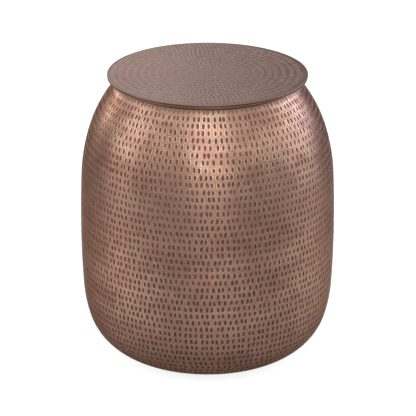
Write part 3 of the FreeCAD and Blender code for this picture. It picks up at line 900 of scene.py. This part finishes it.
def light_pool(tree, bearing, distance, reach, glow):
    """The glow at a spot of the floor, which fades to 0 at its reach; the bearing is from the camera's side"""
    a = math.radians(bearing)
    spot = (math.sin(a) * distance, -math.cos(a) * distance, 0)
    ends = {0: place_field(tree), 1: spot}
    far = out(tree, "ShaderNodeVectorMath", "Value", ends, operation="DISTANCE")
    return ramp(far, reach, 0.0) * glow


floor_disc = bmesh.new()
bmesh.ops.create_circle(floor_disc, cap_ends=True, segments=FLOOR_SEGMENTS, radius=FLOOR_RADIUS)
floor = finish_mesh("floor", floor_disc)
floor_finish, floor_tree, floor_shader = new_finish(
    "floor_white", Roughness=0.9, Specular_IOR_Level=0.0, Emission_Color=WHITE
)
floor_grey = ray_field(floor_tree, "Glossy") * -MIRROR_DARKER + FLOOR_GREY
mirrored = light_pool(floor_tree, *POOLS[0])
for pool in POOLS[1:]:
    mirrored = mirrored + light_pool(floor_tree, *pool)
plug(floor_tree, floor_shader.inputs["Base Color"], floor_grey)
floor_glow = light_path_white(floor_tree, mirrored) * FLOOR_GLOW
plug(floor_tree, floor_shader.inputs["Emission Strength"], floor_glow)
floor.data.materials.append(floor_finish)
print("floor with", len(POOLS), "pools of light")

# %% [markdown]
# ## Studio walls and background
# Bare white on every side would make the copper look flat. So pale grey walls stand round the table, out of the
# camera's sight: bright above in front and at the sides, and dark behind but for one panel, which lights the lid.
# They glow by themselves, because a wall lit by lamps would need lamps that the copper mirrors too.

# %% Walls
WALL_RADIUS, WALL_HEIGHT, WALL_SEGMENTS = 6.0, 4.0, 96
# The glow of the wall, what is taken off behind the table, and what the panel and the upper wall add
WALL_GLOW, BACK_DARKER, PANEL_ADDS, HIGH_ADDS = 0.64, 0.56, 1.13, 0.76
BACK_POWER = 4.0
# Where the panel's three sides fade from 0 to 1, and where the upper wall does
PANEL_RIGHT, PANEL_LEFT, PANEL_TOP = (0.25, -0.25), (-2.2, -1.6), (4.0, 1.8)
HIGH_WALL = (0.8, 2.5)
wall_finish = bpy.data.materials.new("studio_grey")
wall_finish.use_nodes = True
wall_tree = wall_finish.node_tree
wall_tree.nodes.clear()
wall_x, wall_y, wall_z = split_xyz(wall_tree, place_field(wall_tree))
back = (wall_y / (2 * WALL_RADIUS) + 0.5).math("POWER", BACK_POWER)
panel = ramp(wall_x, *PANEL_RIGHT) * ramp(wall_x, *PANEL_LEFT) * ramp(wall_z, *PANEL_TOP)
high = ramp(wall_z, *HIGH_WALL) * (-back + 1)
wall_glow = (panel * PANEL_ADDS - BACK_DARKER) * back + high * HIGH_ADDS + WALL_GLOW
wall_end = add_node(wall_tree, "ShaderNodeOutputMaterial")
plug(wall_tree, wall_end.inputs["Surface"], out(wall_tree, "ShaderNodeEmission", 0, {"Strength": wall_glow}))
walls = lathe("studio_walls", [(WALL_RADIUS, WALL_HEIGHT), (WALL_RADIUS, 0.0)], wall_finish, WALL_SEGMENTS)
walls.visible_camera = False
walls.visible_shadow = False
print("walls", WALL_RADIUS, "m from the table")

# %% World
# Half white for what it lights, white for the camera and brighter in the metal
WORLD_LIGHTS, WORLD_MIRRORED = 0.5, 1.5
world = bpy.data.worlds.new("white_studio")
bpy.context.scene.world = world
world.use_nodes = True
background = world.node_tree.nodes["Background"]
background.inputs["Color"].default_value = WHITE
world_seen = light_path_white(world.node_tree, WORLD_MIRRORED) * (1 - WORLD_LIGHTS)
plug(world.node_tree, background.inputs["Strength"], world_seen + WORLD_LIGHTS)
print("world:", world.name)

# %% [markdown]
# ## Soft boxes
# Three tall soft boxes give the three upright lights on the shoulder. A bluish box behind on the right cools its
# edge, and a small box behind on the left draws the other edge. These two light the metal alone, so that the
# shadow on the floor stays soft and grey.

# %% Soft boxes
AIM = Vector((0, 0, 0.30))
PLAIN, COOL, BLUISH = (1, 1, 1), (0.80, 0.93, 1.0), (0.58, 0.66, 1.0)


def soft_box(name, azimuth, elevation, distance, width, tall, power, colour=PLAIN, lights_floor=True):
    """An upright soft box at a bearing from the camera's side, turned to the table"""
    lamp = bpy.data.lights.new(name, "AREA")
    lamp.shape = "RECTANGLE"
    lamp.size, lamp.size_y = width, tall
    lamp.energy = power
    lamp.color = colour
    made = new_object(name, lamp)
    a, e = math.radians(azimuth), math.radians(elevation)
    away = Vector((math.sin(a) * math.cos(e), -math.cos(a) * math.cos(e), math.sin(e)))
    made.location = AIM + away * distance
    made.visible_diffuse = lights_floor
    made.rotation_euler = (-away).to_track_quat("-Z", "Y").to_euler()
    print(name, power, "W")


# Each box is its bearing, elevation, distance, width, height and power
soft_box("front_box", 2.5, 32, 3.0, 1.7, 3.0, 21)
soft_box("left_box", -86, 20, 2.8, 1.5, 2.8, 13.5)
soft_box("right_box", 100, 20, 2.8, 1.8, 2.8, 20, COOL)
soft_box("cool_box", 126, 24, 2.8, 1.4, 1.4, 24, BLUISH, lights_floor=False)
soft_box("edge_box", -134, 22, 2.8, 1.0, 1.3, 16, lights_floor=False)

# %% [markdown]
# ## Camera
# The camera stands where the photograph's did: the outline of the drum and the level rows of marks give its
# distance, height and lens. A small sideways shift puts the table's axis where it is in the picture.

# %% Camera
CAMERA_DISTANCE = 4.0
CAMERA_ELEVATION = math.radians(21.27)
CAMERA_AIM = Vector((0, 0, 0.2377))
CAMERA_LENS, CAMERA_SENSOR, CAMERA_SHIFT = 219.1, 36.0, 0.00115
camera = new_object("camera", bpy.data.cameras.new("camera"))
camera.data.lens = CAMERA_LENS
camera.data.sensor_width = CAMERA_SENSOR
camera.data.shift_x = CAMERA_SHIFT
camera_back = Vector((0, -math.cos(CAMERA_ELEVATION), math.sin(CAMERA_ELEVATION)))
camera.location = CAMERA_AIM + camera_back * CAMERA_DISTANCE
camera.rotation_euler = (-camera_back).to_track_quat("-Z", "Y").to_euler()
bpy.context.scene.camera = camera
bpy.context.scene.view_settings.view_transform = "Standard"
print("camera at", tuple(camera.location))
